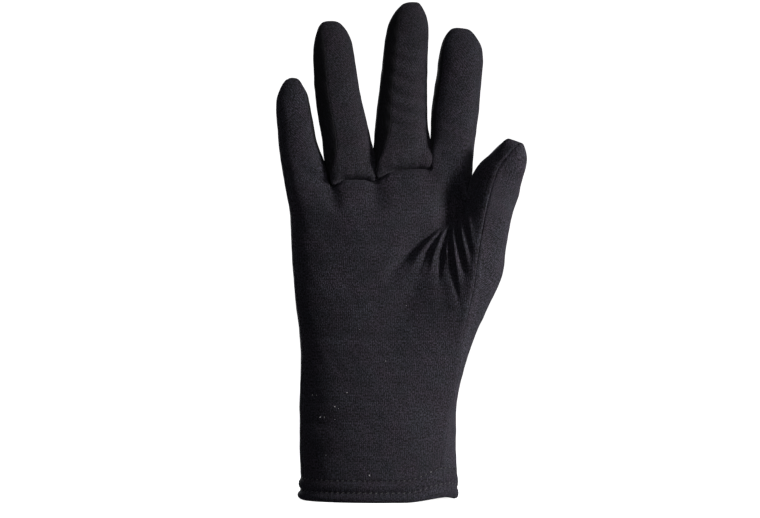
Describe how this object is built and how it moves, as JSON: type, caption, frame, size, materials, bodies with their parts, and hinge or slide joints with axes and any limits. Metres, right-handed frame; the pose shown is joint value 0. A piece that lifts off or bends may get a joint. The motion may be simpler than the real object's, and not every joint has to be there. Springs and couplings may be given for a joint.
{
  "type": "glove liner",
  "caption": "Thin knit glove liner for the right hand, in worn form, with sewn-in finger sides, gathers at the thumb and a folded cuff hem.",
  "frame": {"origin": "middle of the wrist opening, in the plane of the cuff's lower edge", "axes": "+Z from the cuff to the fingertips, +X to the thumb side, -Y out of the palm, +Y out of the back of the hand"},
  "size_m": [0.1225, 0.044, 0.2449],
  "materials": {
    "knit": "matte fine knit, near black with a slight violet cast",
    "side_knit": "matte fine knit of the finger sides, a little darker"
  },
  "bodies": {
    "root": {"cuff_hem": "knit", "palm_panel": "knit", "back_panel": "knit", "ring_finger_front": "knit", "middle_finger_front": "knit", "little_ring_fourchette": "side_knit", "ring_middle_fourchette": "side_knit", "middle_index_fourchette": "side_knit"}
  },
  "joints": []
}
